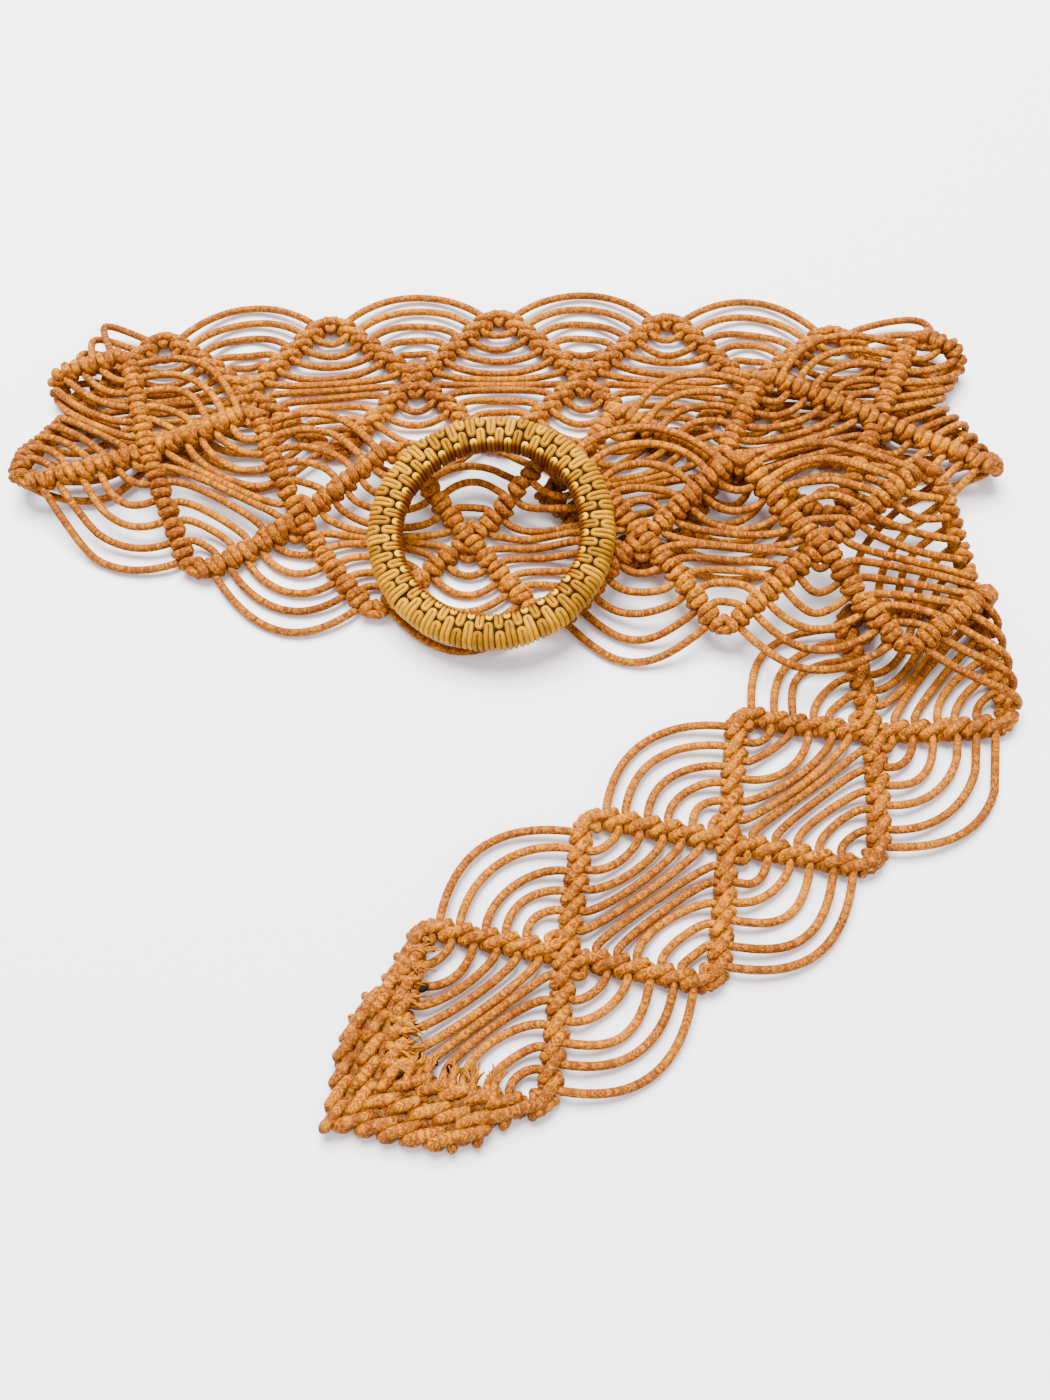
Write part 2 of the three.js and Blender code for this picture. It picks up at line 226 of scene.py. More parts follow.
def place(belt, sink):
    """Belt coordinates (along, across, out of the front face) to the table: flat legs, and folds
    round half an ellipse between the heights of the two legs that meet there. sink is each
    point's share of the way down to what its leg rests on. Gives also the distances to folds."""
    shape = belt.shape
    s, t, h = belt.reshape(-1, 3).T
    bump = np.minimum(1, np.abs((s / STATION - LEAN[1]) / LEAN[2]))
    k = s / STATION + LEAN[0] * np.cos(bump * np.pi / 2) ** 2 * t / STATION
    leg_of = np.zeros(k.size, int)
    out = np.zeros((k.size, 3))
    bent = np.zeros(k.size, bool)
    clear = np.full(k.size, FAR)
    for i, leg in enumerate(COURSE[:-1]):
        fold = leg["fold"]
        run = (k - fold["k"]) * STATION * SNUG
        x = fold["x"] + fold["along"][0] * run - fold["along"][1] * leg["side"] * t
        y = fold["y"] + fold["along"][1] * run + fold["along"][0] * leg["side"] * t
        nx, ny = fold["normal"]
        q = (x - fold["x"]) * nx + (y - fold["y"]) * ny
        round_it = np.pi * fold["radius"]
        near = (k > fold["k"] - FOLD_REACH) & (k < fold["end"] + FOLD_REACH)
        curl = near & (q > 0) & (q < round_it)
        clear[near] = np.minimum(clear, np.maximum(-q, q - round_it))[near]
        leg_of[(near & (q >= round_it)) | (k >= fold["end"] + FOLD_REACH)] = i + 1
        bent |= curl
        cx, cy, turn = x[curl] - q[curl] * nx, y[curl] - q[curl] * ny, q[curl] / fold["radius"]
        start, end = height(i, cx, cy), height(i + 1, cx, cy)
        reach = np.sin(turn) * (fold["radius"] + leg["side"] * np.sign(start - end) * h[curl])
        middle = np.cos(turn) * ((start - end) / 2 + leg["side"] * h[curl])
        out[curl] = np.stack([cx + reach * nx, cy + reach * ny, (start + end) / 2 + middle], 1)
    for i, leg in enumerate(COURSE):
        here = ~bent & (leg_of == i)
        x, y = on_leg(leg, k[here], t[here])
        level = leg["side"] * h[here]
        level -= sink.ravel()[here] * ease(clear[here] / SINK_RUN) * (level + SINK)
        out[here] = np.stack([x, y, height(i, x, y) + level], 1)
    return out.reshape(shape), clear.reshape(shape[:-1])


def spline(points, n, closed=False):
    """Catmull-Rom curves through points (..., points, columns), sampled at n places each."""
    p = np.moveaxis(np.asarray(points, float), -2, 0)
    m = len(p)
    if closed:
        p = np.concatenate([p[-1:], p, p[:2]])
        u = np.arange(n) * m / n
    else:
        p = np.concatenate([2 * p[:1] - p[1:2], p, 2 * p[-1:] - p[-2:-1]])
        u = np.linspace(0, m - 1, n)
    i = np.minimum(u.astype(int), len(p) - 4)
    f = (u - i).reshape((n,) + (1,) * (p.ndim - 1))
    a, b, c, d = p[i], p[i + 1], p[i + 2], p[i + 3]
    curve = 0.5 * (
        2 * b + (c - a) * f + (2 * a - 5 * b + 4 * c - d) * f**2 + (3 * b - a - 3 * c + d) * f**3
    )
    return np.moveaxis(curve, 0, -2)


def skin(paths, reference, radius, sides, closed=False):
    """Tubes along paths (cords, points, 3): circles of a radius at each point, square to the
    path, that start from a reference direction. Gives their points and the lengths along."""
    if closed:
        tangent = np.roll(paths, -1, 1) - np.roll(paths, 1, 1)
    else:
        tangent = np.gradient(paths, axis=1)
    tangent /= np.linalg.norm(tangent, axis=2, keepdims=True)
    up = reference - (reference * tangent).sum(2, keepdims=True) * tangent
    up /= np.linalg.norm(up, axis=2, keepdims=True)
    aside = np.cross(up, tangent)
    turn = (np.arange(sides) * 2 * np.pi / sides)[None, None, :, None]
    ring = up[:, :, None] * np.sin(turn) + aside[:, :, None] * np.cos(turn)
    radius = np.broadcast_to(radius, paths.shape[:2])[:, :, None, None]
    step = np.linalg.norm(np.diff(paths, axis=1), axis=2)
    length = np.concatenate([np.zeros((len(paths), 1)), np.cumsum(step, 1)], 1)
    return paths[:, :, None] + ring * radius, length


def build(name, rings, length, material, node, closed=False, dark=None):
    """One mesh of tubes from their points (cords, points, sides, 3) in mm, in metres: quads
    between the rings, a cap at each open end, the length along in mm and the share of the way
    round and back as UV map, a tone for each cord, and how dark it is at each point."""
    cords, points, sides = rings.shape[:3]
    i, j = np.arange(points if closed else points - 1), np.arange(sides)
    a, b = i[:, None] * sides, ((i + 1) % points)[:, None] * sides
    quads = np.stack([a + j, a + (j + 1) % sides, b + (j + 1) % sides, b + j], 2).reshape(-1, 4)
    caps = np.stack([j[::-1], (points - 1) * sides + j])[: 0 if closed else 2]
    base = (np.arange(cords) * points * sides)[:, None, None]
    quads, caps = (quads[None] + base).reshape(-1, 4), (caps[None] + base).reshape(-1, sides)
    loops = np.concatenate([quads.ravel(), caps.ravel()])
    totals = np.concatenate([np.full(len(quads), 4), np.full(len(caps), sides)])
    around = np.abs(np.arange(sides) * 2 / sides - 1)
    start = rng.uniform(0, 60, (cords, 1, 1))
    u = np.broadcast_to(length[:, :, None] + start, rings.shape[:3])
    uv = np.stack([u, np.broadcast_to(around, u.shape)], -1).reshape(-1, 2)
    mesh = bpy.data.meshes.new(name)
    mesh.vertices.add(cords * points * sides)
    mesh.vertices.foreach_set("co", (rings * 0.001).ravel())
    mesh.loops.add(len(loops))
    mesh.loops.foreach_set("vertex_index", loops)
    mesh.polygons.add(len(totals))
    mesh.polygons.foreach_set("loop_start", np.cumsum(totals) - totals)
    mesh.polygons.foreach_set("use_smooth", np.ones(len(totals), bool))
    mesh.uv_layers.new(name="UVMap").uv.foreach_set("vector", uv[loops].ravel())
    tone = np.repeat(rng.uniform(0, 1, cords), points * sides)
    mesh.attributes.new("tone", "FLOAT", "POINT").data.foreach_set("value", tone)
    if dark is not None:
        dark = np.broadcast_to(dark[:, :, None], rings.shape[:3]).ravel()
        mesh.attributes.new("dark", "FLOAT", "POINT").data.foreach_set("value", dark)
    mesh.update(calc_edges=True)
    obj = bpy.data.objects.new(name, mesh)
    bpy.context.scene.collection.objects.link(obj)
    mesh.materials.append(material)
    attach(obj, "root")
    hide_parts(node)


# A knot on a rising bar: the cord comes in under the bar, wraps its front, crosses over its own
# back as a thick slanted strand, wraps the front again and leaves under it. The table goes to
# the middle of the strand, and the other half mirrors it.
# Columns: along the bar in steps, across it and out of the front face in mm, radius in mm.
KNOT = np.array(
    [
        (-0.12, 3.1, -0.60, 1.20),
        (-0.17, 1.5, -0.75, 1.18),
        (-0.22, -0.4, -0.60, 1.16),
        (-0.26, -1.65, 0.05, 1.16),
        (-0.27, -1.95, 0.90, 1.28),
        (-0.26, -1.1, 1.80, 1.55),
        (-0.26, 1.1, 1.80, 1.55),
        (-0.34, 2.15, 0.80, 1.30),
        (-0.55, 2.50, -0.40, 1.22),
        (-0.56, 1.70, -1.40, 1.50),
        (0.0, 0.0, -1.60, 1.74),
    ]
)
KNOT = np.concatenate([KNOT, (KNOT * (-1, -1, 1, 1))[-2::-1]])
KNOT_POINTS = 33
ARC_POINTS = 18
BEND_POINTS = 21
SIDES = 9
LEAST_PULL = 1.2  # mm that a free cord goes straight on at least as it leaves a bar
# Free cords from the edge knot on: the share of its own knots' distance at which the middle of
# each passes the edge knot as it swings round it, and the crossing as it swings out in a scallop
INNER_SHARES = np.array([1.04, 1.0, 0.975, 0.935, 0.885, 0.825])
OUTER_SHARES = np.linspace(1.065, 1.0, KNOTS)
LOOSE = np.linspace(0.3, 0.8, KNOTS)  # mm by which each chances to lie off that
SAG = (0.55, 1.0)  # least and greatest share of the way down that a free cord's middle sinks
SAG_REACH = 14.0  # mm from its sector's apex up to which a cord is too short to sink fully
# Chance of a knot's size (share), lean (slope) and place along its bar (mm), and of a free
# cord's skew (share)
UNEVEN = {"size": 0.05, "lean": 0.10, "slide": 0.22, "skew": 0.10}


def knots(where, rising, loose=1.0, table=KNOT):
    """Knot curves at places (..., 2): centre lines, radii and the bars' directions. On falling
    bars (rising = -1) the knot is its own mirror image. Each is drawn a little unevenly, the
    more so the looser it is."""
    shape = where.shape[:-1]
    e = np.broadcast_to(rising, shape)[..., None]
    size = 1 + UNEVEN["size"] * loose * rng.standard_normal(shape + (1,))
    lean = UNEVEN["lean"] * loose * rng.standard_normal(shape + (1,))
    slide = UNEVEN["slide"] * loose * rng.standard_normal(shape + (1,))
    curve = spline(table, KNOT_POINTS)
    v = curve[:, 1] * size
    u = curve[:, 0] * KNOT_STEP + lean * v + slide
    s = where[..., :1] + u * COS - v * SIN
    t = where[..., 1:] + e * (u * SIN + v * COS)
    h = np.broadcast_to(curve[:, 2] * size, s.shape)
    bar = np.stack(np.broadcast_arrays(e * COS, SIN, 0 * s), -1)
    radius = np.broadcast_to(curve[:, 3], s.shape)
    return np.stack([s, t, h], -1), radius, bar


def arcs(start, leave, end, arrive, apex, axis, middle):
    """Free cords: cubic curves that leave and reach the bars square to them and pass the apex
    of their sector at a given distance along its axis."""
    chord = (((start + end) / 2 - apex) * axis).sum(-1)
    # The middle of a cubic curve is three quarters of the way from its chord to its handles.
    pull = (middle - chord) / (0.75 * (leave * axis).sum(-1))
    pull = np.maximum(pull, LEAST_PULL)[..., None]
    skew = UNEVEN["skew"] * rng.standard_normal(pull.shape)
    b, c = start + leave * pull * (1 + skew), end + arrive * pull * (1 - skew)
    f = ((np.arange(ARC_POINTS) + 1) / (ARC_POINTS + 1))[:, None]
    g = 1 - f
    a, b, c, d = (p[..., None, :] for p in (start, b, c, end))
    return g**3 * a + 3 * g**2 * f * b + 3 * g * f**2 * c + f**3 * d


def lay(name, path, radius, reference, share=None, dark=None):
    """Cords on centre lines in belt coordinates, laid as the strap lies and made into tubes.
    share says how far each point sinks to what its leg rests on. Where such free cord goes
    round a fold it is pulled smooth, each point towards the middle of its two neighbours."""
    limit = TOP - radius  # within the bars' thickness
    path[..., 2] = np.clip(path[..., 2], -limit, limit)
    free = np.zeros(path.shape[:2]) if share is None else share
    lain, clear = place(path, free)
    unit = reference / np.linalg.norm(reference, axis=2, keepdims=True)
    up = place(path + 0.3 * unit, free)[0] - lain  # how that direction lies on the table
    near_fold = ease((SMOOTH_NEAR + SMOOTH_FADE - clear) / SMOOTH_FADE)
    pull = (SMOOTH_SHARE * (free > 0.02) * near_fold)[..., None]
    for _ in range(SMOOTH_ROUNDS):
        lain[:, 1:-1] += pull[:, 1:-1] * ((lain[:, :-2] + lain[:, 2:]) / 2 - lain[:, 1:-1])
    lain[..., 2] = np.maximum(lain[..., 2], radius)
    rings, length = skin(lain, up, radius, SIDES)
    build(name, rings, length, cord_finish, "strap", dark=dark)


def working_cords():
    """Six cords on each side of the strap. At each edge knot a cord knots onto one bar, swings
    round the edge knot, knots onto the next bar and swings out round the crossing in a scallop."""
    odd = np.arange(FIRST_STATION + 1, LAST_STATION, 2)
    side = np.array([1.0, -1.0])[:, None, None]
    r = (FIRST_KNOT + KNOT_STEP * np.arange(KNOTS))[None, :, None]
    s = odd[None, None, :] * STATION + np.zeros((2, KNOTS, 1))
    t = side * (HALF_WIDTH - SIN * r) + np.zeros(s.shape)
    left = knots(np.stack([s - COS * r, t], -1), side)
    right = knots(np.stack([s + COS * r, t], -1), -side)
    down = np.stack([0 * s, -side + 0 * s], -1)
    out = np.stack([SIN + 0 * s, -side * COS + 0 * s], -1)
    edge = np.stack([s, side * HALF_WIDTH + 0 * s], -1)
    loose = rng.standard_normal(s.shape) * LOOSE[None, :, None]
    flat, bow = INNER_SHARES[None, :, None], OUTER_SHARES[None, :, None]
    inner = arcs(
        left[0][..., -1, :2], out, right[0][..., 0, :2], out * (-1, 1), edge, down, flat * r + loose
    )
    outer = arcs(
        right[0][:, :, :-1, -1, :2], (out * (1, -1))[:, :, 1:], left[0][:, :, 1:, 0, :2],
        -out[:, :, 1:], (edge * (1, 0) - (STATION, 0))[:, :, 1:], -down[:, :, 1:],
        (bow * (BAR_LENGTH - r) - loose)[:, :, 1:],
    )
    outer = np.concatenate([outer, outer[:, :, -1:]], 2)
    swing = np.sin(np.pi * (np.arange(ARC_POINTS) + 1) / (ARC_POINTS + 1)) ** 1.5
    parts = []
    for knot, arc, reach in ((left, inner, r), (right, outer, BAR_LENGTH - r)):
        level = np.full(arc.shape[:4] + (1,), KNOT[0, 2])
        slack = rng.uniform(*SAG, arc.shape[:3]) * np.clip(reach / SAG_REACH, 0.3, 1)
        path = np.concatenate([knot[0], np.concatenate([arc, level], -1)], 3)
        radius = np.concatenate([knot[1], np.full(arc.shape[:4], CORD / 2)], 3)
        share = np.concatenate([np.zeros(knot[1].shape), slack[..., None] * swing], 3)
        bar = np.concatenate([knot[2], np.zeros(arc.shape[:4] + (3,))], 3)
        parts.append((path, radius, share, bar))
    path, radius, share, bar = (np.stack(p, 3) for p in zip(*parts))
    n = path.shape[2] * 2 * path.shape[4]
    whole = n - ARC_POINTS - 6  # the last knot's end stays hidden under it
    path, bar = (v.reshape(2, KNOTS, n, 3)[:, :, :whole] for v in (path, bar))
    radius, share = (v.reshape(2, KNOTS, n)[:, :, :whole] for v in (radius, share))
    along = np.gradient(path, axis=2)
    turned = np.stack([-along[..., 1], along[..., 0], 0 * along[..., 0]], -1)
    bar = np.where((bar == 0).all(-1, keepdims=True), turned, bar)
    for i, name in enumerate(("one_side", "other_side")):
        for half, place_in in (("outer", slice(0, 3)), ("inner", slice(3, 6))):
            laid = [v[i, place_in] for v in (path, radius, bar, share)]
            lay(f"cords_{name}_{half}", *laid)


def core_cords():
    """Two cords that the knots are tied on. Each runs zigzag between the strap's edges, straight
    through a crossing as it falls and knotted over the other one as it rises, and turns back
    round each edge knot in two thick curls."""
    # Columns: along, out past the edge knot's middle, radius
    bend = np.array(
        [(-5.2, -5.5, 1.3), (-3.3, -4.0, 1.6), (-1.9, -2.6, 1.8), (-1.5, -0.9, 1.8), (0, -0.9, 1.3)]
    )
    bend = np.concatenate([bend, (bend * (-1, 1, 1))[-2::-1]])
    for first in (1, -1):
        path, radius, bar = [], [], []
        for k in range(FIRST_STATION, LAST_STATION, 2):
            side = first if (k - FIRST_STATION) % 4 == 0 else -first
            here = np.array([k * STATION, 0.0])
            if side > 0:
                knot = [v[0] for v in knots(here[None], -1.0, 0.4)]
                path.append(knot[0])
                radius.append(knot[1])
                bar.append(-knot[2])
            else:
                path.append(np.array([(*here, 0.0)]))
                radius.append(np.full(1, CORE))
                bar.append(np.zeros((1, 3)))
            turn = spline(bend, BEND_POINTS)
            flat = turn[:, :2] * (1, side) + ((k + 1) * STATION, side * HALF_WIDTH)
            path.append(np.concatenate([flat, np.zeros((BEND_POINTS, 1))], 1))
            radius.append(turn[:, 2])
            bar.append(np.zeros((BEND_POINTS, 3)))
        path, radius, bar = (np.concatenate(v) for v in (path, radius, bar))
        bar = np.where((bar == 0).all(1, keepdims=True), LIE, bar)
        rows = np.concatenate([path, radius[:, None], bar], 1)
        at = np.cumsum(np.linalg.norm(np.diff(path, axis=0, prepend=path[:1]), axis=1))
        even = np.arange(0, at[-1], CORE_STEP)
        rows = np.stack([np.interp(even, at, column) for column in rows.T], 1)[None]
        name = "core_cord_one" if first > 0 else "core_cord_other"
        lay(name, rows[..., :3], rows[..., 3], rows[..., 4:])


def tip_row(at, corner, along, out, share):
    """Places at distances along a row of the tip, which closes in on the bar as it ends."""
    closing = ease((at / BAR_LENGTH - share + CLOSING_RUN) / CLOSING_RUN)[:, None]
    return corner + at[:, None] * along - CLOSING * closing * out


def tip():
    """The pointed end: two more rows of knots outside the last bars, on cores of their own, and
    the cut ends of the cords, which stand on the back of the last bars, frayed and burnt."""
    end = LAST_STATION * STATION
    where, rise, cores = [], [], []
    # Rows: side of the strap, rows from the bar, share of the arm that it reaches up
    for side, line, share in ((1, 1, 0.78), (1, 2, 0.52), (-1, 1, 0.86), (-1, 2, 0.70)):
        along, out = np.array([-COS, side * SIN]), np.array([SIN, side * COS])
        corner = np.array([end, 0.0]) + out * TIP_ROW * line
        first = -TIP_ROW * line * COS / SIN + (0 if side > 0 else KNOT_STEP * 0.9)
        run = np.arange(first, BAR_LENGTH * share, KNOT_STEP)
        where.append(tip_row(run, corner, along, out, share))
        rise.append(np.full(len(run), -side))
        # Cores end under their last knot, 3 mm before its middle.
        core = tip_row(np.linspace(first, run[-1] - 3, 14), corner, along, out, share)
        for back in (0, TIP_ROW / 2):
            cores.append(np.pad(core - back * out, ((0, 0), (0, 1))))
    # The knots where the bars meet: on the crossing and in the corner inside it
    where.append(np.array([(end, 0.0), (end - 5.6, 0.3)]))
    rise.append([-1, 1])
    path, radius, bar = knots(np.concatenate(where), np.concatenate(rise), 1.2, KNOT[2:-2])
    lay("tip_knots", path, radius, bar)
    cores = np.stack(cores)
    # The tip's cores, and the second core half a row back of each, go 0.55 of the way to near
    # black: painted shade in the gaps between the tip's knots.
    shade = np.full(cores.shape[:2], 0.55)
    lay("tip_cores", cores, TIP_CORE, np.zeros(cores.shape) + LIE, dark=shade)
    # Cut ends: side of the strap, distance from the point along the bar, length (mm)
    ends = np.array(
        [
            (1, 34.0, 4.2),
            (1, 30.2, 4.6),
            (1, 25.4, 5.0),
            (1, 20.4, 4.4),
            (1, 14.9, 5.4),
            (1, 11.6, 4.8),
            (1, 7.6, 5.2),
            (1, 3.6, 6.0),
            (-1, 4.4, 6.4),
            (-1, 10.2, 7.0),
            (-1, 16.4, 7.8),
            (-1, 22.0, 6.6),
            (-1, 27.3, 7.4),
        ]
    )
    side, far, long = ends.T[:, :, None]
    f = np.linspace(0, 1, 7)[None]
    foot = np.concatenate([end - COS * far, side * SIN * far], 1)
    inward = np.concatenate([-SIN + 0 * side, -side * COS], 1)
    along = np.concatenate([-COS + 0 * side, side * SIN], 1)
    drift = rng.uniform(-1.6, 1.6, (len(ends), 1))
    run = -2.4 + (long + 1.2) * f  # from under the bar inwards
    flat = foot[:, None] + run[..., None] * inward[:, None]
    flat += (drift * f**2)[..., None] * along[:, None]
    # The strap's back is up here: each end rises over the bar and comes down again.
    level = -2.1 - 0.9 * np.sin(np.pi * np.minimum(f * 0.85, 1)) + 0 * far
    path = np.concatenate([flat, level[..., None]], 2)
    thick = np.array([1.25, 1.25, 1.22, 1.15, 1.08, 0.9, 0.5])[None]
    lay("cut_ends", path, thick, np.zeros(path.shape) + LIE)
    # Fibres fan out of the last stretch of each end
    fibres = 17
    last = np.repeat(path[:, -2], fibres, 0)
    aim = np.repeat(path[:, -1] - path[:, -3], fibres, 0)
    aim /= np.linalg.norm(aim, axis=1, keepdims=True)
    fan = rng.uniform(-1, 1, (len(last), 3)) * (0.62, 0.62, 0.5)
    size = rng.uniform(1.6, 3.8, (len(last), 1, 1))
    f = np.linspace(0, 1, 5)[None, :, None]
    start = last - aim * 1.2 + fan * 1.1
    fray = start[:, None] + size * (aim[:, None] * f + fan[:, None] * f**1.5)
    thin = np.array([0.42, 0.4, 0.36, 0.3, 0.2])[None]
    lay("frayed_fibres", fray, thin, np.zeros(fray.shape) + LIE)
    # Drops of melted, burnt fibre on some of the ends
    some = fray[:: fibres // 2]
    drops = some[rng.uniform(0, 1, len(some)) < 0.62]
    reach = np.linspace(-0.6, 1.5, 7)[None, :, None]
    run = drops[:, -2:-1] + (drops[:, -1:] - drops[:, -2:-1]) * reach
    run[..., 2] -= 0.6
    bead = np.array([0.3, 0.75, 1.0, 1.05, 1.0, 0.75, 0.3])[None]
    bead = bead * rng.uniform(0.45, 0.85, (len(run), 1))
    blackened = np.ones(run.shape[:2])
    lay("burnt_drops", run, bead, np.zeros(run.shape) + LIE, dark=blackened)


def srgb(text):
    """Hex sRGB to linear red, green and blue with alpha 1."""
    raw = [int(text[i : i + 2], 16) / 255 for i in (1, 3, 5)]
    return [v / 12.92 if v <= 0.04045 else ((v + 0.055) / 1.055) ** 2.4 for v in raw] + [1.0]


def node(tree, kind, inputs=None, stops=(), **settings):
    """Adds a node with its settings and links: inputs are values, nodes or sockets by name or
    number, and stops are the places and colours of a colour ramp."""
    made = tree.nodes.new(kind)
    for key, value in settings.items():
        setattr(made, key, value)
    for key, value in (inputs or {}).items():
        if isinstance(value, bpy.types.Node):
            value = value.outputs[0]
        if isinstance(value, bpy.types.NodeSocket):
            tree.links.new(value, made.inputs[key])
        else:
            made.inputs[key].default_value = value
    for i, (at, colour) in enumerate(stops):
        spot = made.color_ramp.elements[i] if i < 2 else made.color_ramp.elements.new(at)
        spot.position = at
        spot.color = srgb(colour)
    return made


def new_tree(name):
    """An empty material and its node tree."""
    made = bpy.data.materials.new(name)
    made.use_nodes = True
    made.node_tree.nodes.clear()
    return made, made.node_tree


MATH = "ShaderNodeMath"
VECTOR = "ShaderNodeVectorMath"
NOISE = "ShaderNodeTexNoise"
HALF_ROUND = CORD * math.pi / 2  # mm round half a cord
DASH = (1.2, 0.42, 1.0)  # length and width of a yarn's dash in mm


def waxed_cord():
    """Waxed braided cotton. Fine yarns cross the cord both ways in short pale dashes with dark
    specks of dye and wax between them. The dashes are drawn 1.2 mm long where the real ones are
    near 0.8 mm, too fine to show. Burnt ends are near black, and the tip's cores are mixed part of
    the way to the same near black as painted shade."""
    made, tree = new_tree("waxed_braided_cotton")
    uv = node(tree, "ShaderNodeUVMap", uv_map="UVMap")
    object_at = node(tree, "ShaderNodeTexCoord").outputs["Object"]
    skin_at = node(tree, VECTOR, {0: uv, 1: (1.0, HALF_ROUND, 1.0)}, operation="MULTIPLY")
    yarns = []
    for slant in (0.62, -0.62):
        laid = node(
            tree,
            "ShaderNodeMapping",
            {"Vector": skin_at, "Rotation": (0, 0, slant), "Scale": DASH},
            vector_type="TEXTURE",
        )
        grain = {"Vector": laid, "Scale": 1.0, "Detail": 1.5, "W": slant}
        yarns.append(node(tree, NOISE, grain, noise_dimensions="4D"))
    plait = node(tree, MATH, {0: yarns[0], 1: yarns[1]}, operation="MAXIMUM")
    broad = node(tree, NOISE, {"Vector": object_at, "Scale": 45.0, "Detail": 2.0})  # over 2 cm
    tone = node(tree, "ShaderNodeAttribute", attribute_name="tone").outputs["Fac"]
    shade = plait
    for part, weight in ((broad, 0.25), (tone, 0.08)):
        shade = node(tree, MATH, {0: part, 1: weight, 2: shade}, operation="MULTIPLY_ADD")
    dyed = node(
        tree,
        "ShaderNodeValToRGB",
        {0: shade},
        [(0.57, "#5C2D06"), (0.65, "#743B09"), (0.73, "#8B4F06"), (0.84, "#B87104")],
    )
    dark = node(tree, "ShaderNodeAttribute", attribute_name="dark").outputs["Fac"]
    # Mixes to near black by the dark attribute: the burnt drops fully, and the tip's cores 0.55 of
    # the way as painted shade between the tip's knots.
    blackened = node(tree, "ShaderNodeMix", {0: dark, 6: dyed, 7: srgb("#070405")}, data_type="RGBA")
    bump = node(tree, "ShaderNodeBump", {"Height": plait, "Strength": 0.5, "Distance": 0.00035})
    shader = node(
        tree,
        "ShaderNodeBsdfPrincipled",
        {
            "Base Color": blackened.outputs[2],
            "Roughness": 0.6,
            "Specular IOR Level": 0.08,
            "Normal": bump,
        },
    )
    node(tree, "ShaderNodeOutputMaterial", {0: shader})
    return made


def waxed_straw(name, stops, roughness):
    """Polished straw plaited round the ring: long fibres along each strand, a wax shine, and a
    brown darkening where it turns down the ring's inner side, painted shade there and partly a
    deeper colour of the straw."""
    made, tree = new_tree(name)
    uv = node(tree, "ShaderNodeUVMap", uv_map="UVMap")
    # Fibres 2 mm long and 0.3 mm wide on the strand's skin
    scaled = node(tree, VECTOR, {0: uv, 1: (0.22, 3.2, 1.0)}, operation="MULTIPLY")
    fibre = node(tree, NOISE, {"Vector": scaled, "Scale": 2.2, "Detail": 3.0})
    tone = node(tree, "ShaderNodeAttribute", attribute_name="tone").outputs["Fac"]
    shade = node(tree, MATH, {0: fibre, 1: 0.75}, operation="MULTIPLY")
    shade = node(tree, MATH, {0: tone, 1: 0.3, 2: shade}, operation="MULTIPLY_ADD")
    dyed = node(tree, "ShaderNodeValToRGB", {0: shade}, stops)
    dark = node(tree, "ShaderNodeAttribute", attribute_name="dark").outputs["Fac"]
    # Mixes to red-brown by the dark attribute down the ring's inner side: painted shade there,
    # partly a deeper colour of the straw.
    stain_and_shade = node(tree, "ShaderNodeMix", {0: dark, 6: dyed, 7: srgb("#581C02")}, data_type="RGBA")
    bump = node(tree, "ShaderNodeBump", {"Height": fibre, "Strength": 0.35, "Distance": 0.0003})
    shader = node(
        tree,
        "ShaderNodeBsdfPrincipled",
        {
            "Base Color": stain_and_shade.outputs[2],
            "Roughness": roughness,
            "Specular IOR Level": 0.06,
            "Normal": bump,
        },
    )
    node(tree, "ShaderNodeOutputMaterial", {0: shader})
    return made


cord_finish = waxed_cord()
straw_finish = waxed_straw(
    "waxed_straw",
    [(0.25, "#603A00"), (0.42, "#885A00"), (0.6, "#A87400"), (0.85, "#D29A00")],
    0.45,
)
# A paler copy of the same straw: painted light on the inner short bands, whose ends at the top's
# inner edge face up into the light.
lit_straw_finish = waxed_straw(
    "waxed_straw_painted_light",
    [(0.2, "#B88000"), (0.42, "#DCA208"), (0.62, "#F0BA18"), (0.9, "#FAD040")],
    0.45,
)
# Near-black straw for the ring's core: painted shade in the gaps between the strands.
core_shade_finish = waxed_straw("straw_core_painted_shade", [(0.2, "#1C0D03"), (0.6, "#2C1706"), (0.9, "#3A200A")], 0.9)

working_cords()
core_cords()
tip()


# The ring: bands of doubled straw laid over its section from both edges, long and short in turn.
STRAND = 0.73  # radius of a strand
INSET = 0.75  # of the strands' centre lines under the ring's surface
SQUARENESS = 2.8  # exponent of the section
SECTION_ROUND = 28.4  # mm round the section
MIDDLE = (RING_OUTER - RING_BAND) / 2  # radius of the ring's middle line
RUN_POINTS = 19  # along each run of a strand


def section(f, grow=0.0):
    """Points of the ring's rounded section at shares f of its length round, from the middle of
    the top outwards: the superellipse (x/a)^2.8 + (z/b)^2.8 = 1."""
    turn = np.linspace(-2 * np.pi, 4 * np.pi, 3001)
    c, s = np.sin(turn), np.cos(turn)
    x = np.sign(c) * np.abs(c) ** (2 / SQUARENESS) * (RING_BAND / 2 - INSET + grow)
    z = np.sign(s) * np.abs(s) ** (2 / SQUARENESS) * (RING_THICK / 2 - INSET + grow)
    at = np.concatenate([[0], np.cumsum(np.hypot(np.diff(x), np.diff(z)))])
    at = at / at[-1] * 3 - 1
    return np.interp(f, at, x), np.interp(f, at, z)


def ring_to_table(points):
    """Tilts the ring as it rests and sets it over its middle."""
    a, b = RING_TILT[0] * RAD, RING_TILT[1] * RAD
    about_x = np.array([[1, 0, 0], [0, math.cos(a), -math.sin(a)], [0, math.sin(a), math.cos(a)]])
    about_y = np.array([[math.cos(b), 0, math.sin(b)], [0, 1, 0], [-math.sin(b), 0, math.cos(b)]])
    return points @ (about_x @ about_y).T + (RING_CENTRE[0], RING_CENTRE[1], RING_HEIGHT)


def share_at(r):
    """The share of the way round the section where its top has a radius r from the middle."""
    f = np.linspace(-0.24, 0.24, 400)
    return float(np.interp(r - MIDDLE, section(f)[0], f))


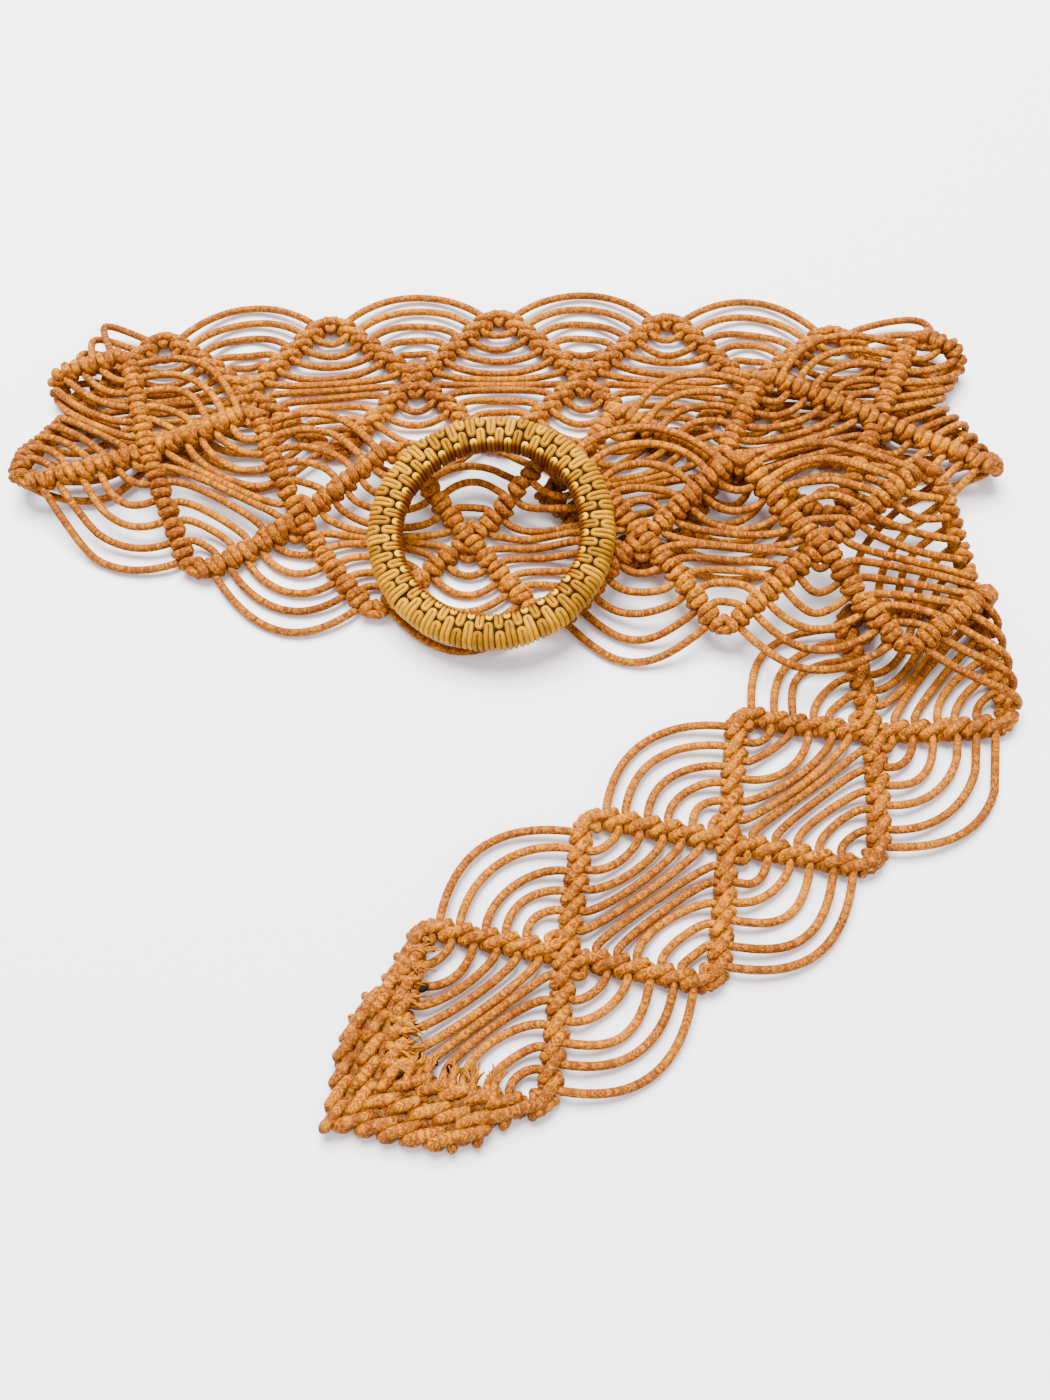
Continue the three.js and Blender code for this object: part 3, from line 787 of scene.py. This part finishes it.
def straw_bands(name, phase, first, last, material):
    """Closed loops of one strand, a loop to a unit of the weave: two runs side by side over the
    ring's section between two shares of its length, and a half circle at each end. The strand
    is as wide as the unit allows at each radius."""
    a = STRAND / SECTION_ROUND  # half the runs' spacing as a share of the section's length
    run = np.linspace(first + a, last - a, RUN_POINTS)
    one = np.ones(RUN_POINTS)
    bow = np.linspace(-np.pi / 2, np.pi / 2, 7)[1:-1]
    f = np.concatenate([run, last - a + a * np.cos(bow), run[::-1], first + a - a * np.cos(bow)])
    over = np.concatenate([-one, np.sin(bow), one, -np.sin(bow)])
    x, z = section(f)
    x1, z1 = section(f + 1e-3)
    nx, nz = z - z1, x1 - x
    sign = np.sign(nx * x + nz * z) / np.hypot(nx, nz)
    nx, nz = nx * sign, nz * sign
    wide = (MIDDLE + x) / MIDDLE
    n = RING_UNITS
    turn = (np.arange(n) + phase) * 2 * np.pi / n
    # The loops lie a little unevenly, round the ring and in height.
    shift = 0.004 * rng.standard_normal((n, 1))
    angle = turn[:, None] + (over * STRAND / MIDDLE)[None] + shift
    lift = 0.09 * rng.standard_normal((n, 1))
    r = MIDDLE + x[None] + nx[None] * lift
    path = np.stack([np.cos(angle) * r, np.sin(angle) * r, z[None] + nz[None] * lift], 2)
    ref = np.stack([np.cos(angle) * nx, np.sin(angle) * nx, nz + 0 * angle], 2)
    rings, length = skin(path, ref, STRAND * wide[None] * 1.02, 6, closed=True)
    # Painted shade, partly a deeper brown of the straw, runs from the top's inner edge, 0.9 of the
    # way round, down the inner side.
    inner_stain_and_shade = np.broadcast_to(0.9 * ease((0.905 - f) / 0.06) * ease((f - 0.5) / 0.1), angle.shape)
    build(name, ring_to_table(rings), length, material, "buckle_ring", True, inner_stain_and_shade)


def ring_core():
    """The ring's core: its section, 0.35 mm smaller all round, turned round the middle. Its
    near-black straw is painted shade in the gaps between the strands.
    """
    n, m = 96, 20  # points round the ring and round the section
    turn = (np.arange(n) * 2 * np.pi / n)[:, None]
    x, z = section(np.arange(m) / m, -0.35)
    r = MIDDLE + x[None] + np.zeros((n, 1))
    points = np.stack([np.cos(turn) * r, np.sin(turn) * r, np.broadcast_to(z, r.shape)], 2)
    length = (turn * RING_OUTER / 2).T
    points = ring_to_table(points)[None]
    build("ring_core", points, length, core_shade_finish, "buckle_ring", True)


ring_core()
# Columns: turn in units of the weave; the two shares of the way round the section that the band
# lies between, found from a radius in mm where it ends on the ring's top; its straw
straw_bands("ring_outer_long", 0.5, share_at(31.15), 0.60, straw_finish)
straw_bands("ring_outer_short", 0.0, share_at(34.15), 0.46, straw_finish)
straw_bands("ring_inner_long", 0.0, 0.52, 1 + share_at(32.45), straw_finish)
# The inner short bands take the paler straw, painted light on their upturned ends.
straw_bands("ring_inner_short", 0.5, 0.66, 1 + share_at(29.45), lit_straw_finish)


# Table, light and camera
def pale_table():
    """Matt white board, faintly violet where it lies in shade."""
    made, tree = new_tree("matt_white_board")
    board = {"Base Color": srgb("#F6F4FA"), "Roughness": 0.9}
    shader = node(tree, "ShaderNodeBsdfPrincipled", board)
    node(tree, "ShaderNodeOutputMaterial", {0: shader})
    return made


bpy.ops.mesh.primitive_plane_add(size=6, location=(0, 0, 0))
floor = bpy.context.object
floor.name = "table"
floor.data.materials.append(pale_table())

world = bpy.data.worlds.new("studio")
bpy.context.scene.world = world
world.use_nodes = True
world.node_tree.nodes["Background"].inputs[0].default_value = (0.97, 0.95, 1.0, 1)
world.node_tree.nodes["Background"].inputs[1].default_value = 1.1


def soft_light(name, place_at, size, power):
    """A round soft box that faces the belt: its place and size in metres, its power in watts."""
    lamp = bpy.data.lights.new(name, "AREA")
    lamp.shape = "DISK"
    lamp.size = size
    lamp.energy = power
    obj = bpy.data.objects.new(name, lamp)
    bpy.context.scene.collection.objects.link(obj)
    obj.location = place_at
    obj.rotation_euler = (-Vector(place_at)).to_track_quat("-Z", "Y").to_euler()


soft_light("key", (-0.15, 0.6, 1.25), 1.05, 98)
soft_light("fill", (0.8, -0.7, 1.2), 1.2, 10)

# Camera: how far above the table in degrees, how far in mm from the table's point in the middle
# of the frame, that point, and the focal length in heights of the frame
ELEVATION = 63.0
DISTANCE = 389.5
LOOK_AT = (5.35, -13.84)
FOCAL = 1300.0 / 1400.0
lens = bpy.data.cameras.new("camera")
lens.sensor_width = 36.0
lens.lens = FOCAL * lens.sensor_width
camera = bpy.data.objects.new("camera", lens)
bpy.context.scene.collection.objects.link(camera)
e = ELEVATION * RAD
camera.location = (
    LOOK_AT[0] * 0.001,
    (LOOK_AT[1] - DISTANCE * math.cos(e)) * 0.001,
    DISTANCE * math.sin(e) * 0.001,
)
camera.rotation_euler = (math.pi / 2 - e, 0, 0)
lens.clip_start = 0.01
bpy.context.scene.camera = camera
